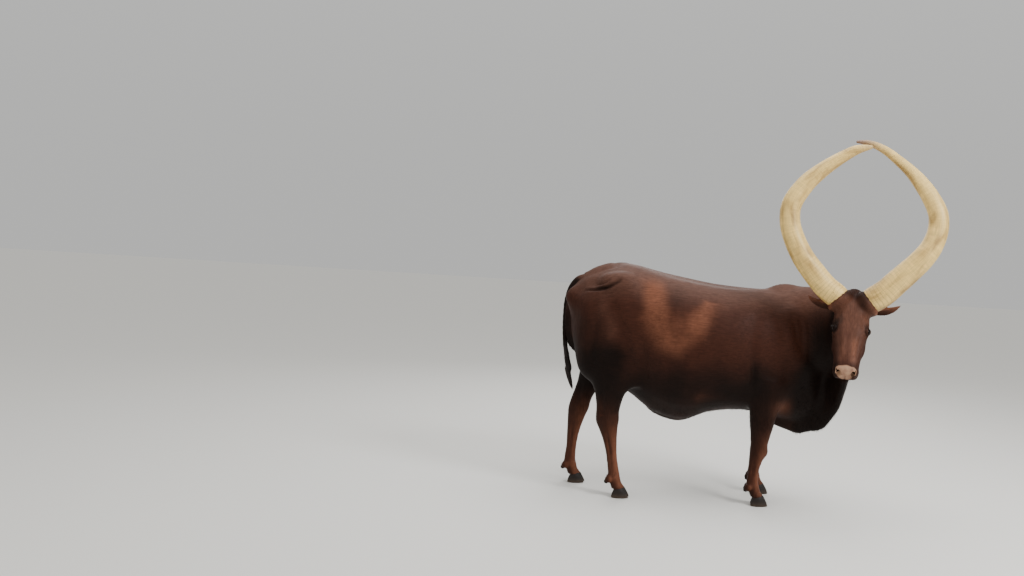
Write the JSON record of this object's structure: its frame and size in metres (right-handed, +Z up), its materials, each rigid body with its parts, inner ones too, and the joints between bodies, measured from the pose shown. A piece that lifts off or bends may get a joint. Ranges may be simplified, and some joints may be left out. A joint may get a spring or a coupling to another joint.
{
  "type": "ankole watusi cattle",
  "caption": "Standing life-size Ankole-Watusi cattle, head turned to its right, with huge horns that sweep out, up and in to almost meet.",
  "frame": {"origin": "middle of the bounding box, on the floor under the soles", "axes": "+X the way the body faces, +Y the animal's left side, +Z up"},
  "size_m": [2.2226, 1.0038, 2.2115],
  "materials": {
    "coat": "short sleek dark brown coat",
    "horn": "cream horn, ringed near the root",
    "claw": "dark worn claw horn",
    "eye": "wet dark eye",
    "hair": "black-brown switch hair"
  },
  "bodies": {
    "root": {"head": "coat", "ear_right": "coat", "ear_left": "coat", "eye_right": "eye", "eye_left": "eye", "horn_right": "horn", "horn_left": "horn", "neck": "coat", "torso": "coat", "leg_front_right": "coat", "leg_front_left": "coat", "leg_hind_right": "coat", "leg_hind_left": "coat", "tail": "coat", "tail_tuft": "hair", "claw_front_right_inner": "claw", "claw_front_right_outer": "claw", "claw_front_left_inner": "claw", "claw_front_left_outer": "claw", "claw_hind_right_inner": "claw", "claw_hind_right_outer": "claw", "claw_hind_left_inner": "claw", "claw_hind_left_outer": "claw", "dewclaw_front_right_inner": "claw", "dewclaw_front_right_outer": "claw", "dewclaw_front_left_inner": "claw", "dewclaw_front_left_outer": "claw", "dewclaw_hind_right_inner": "claw", "dewclaw_hind_right_outer": "claw", "dewclaw_hind_left_inner": "claw", "dewclaw_hind_left_outer": "claw"}
  },
  "joints": []
}
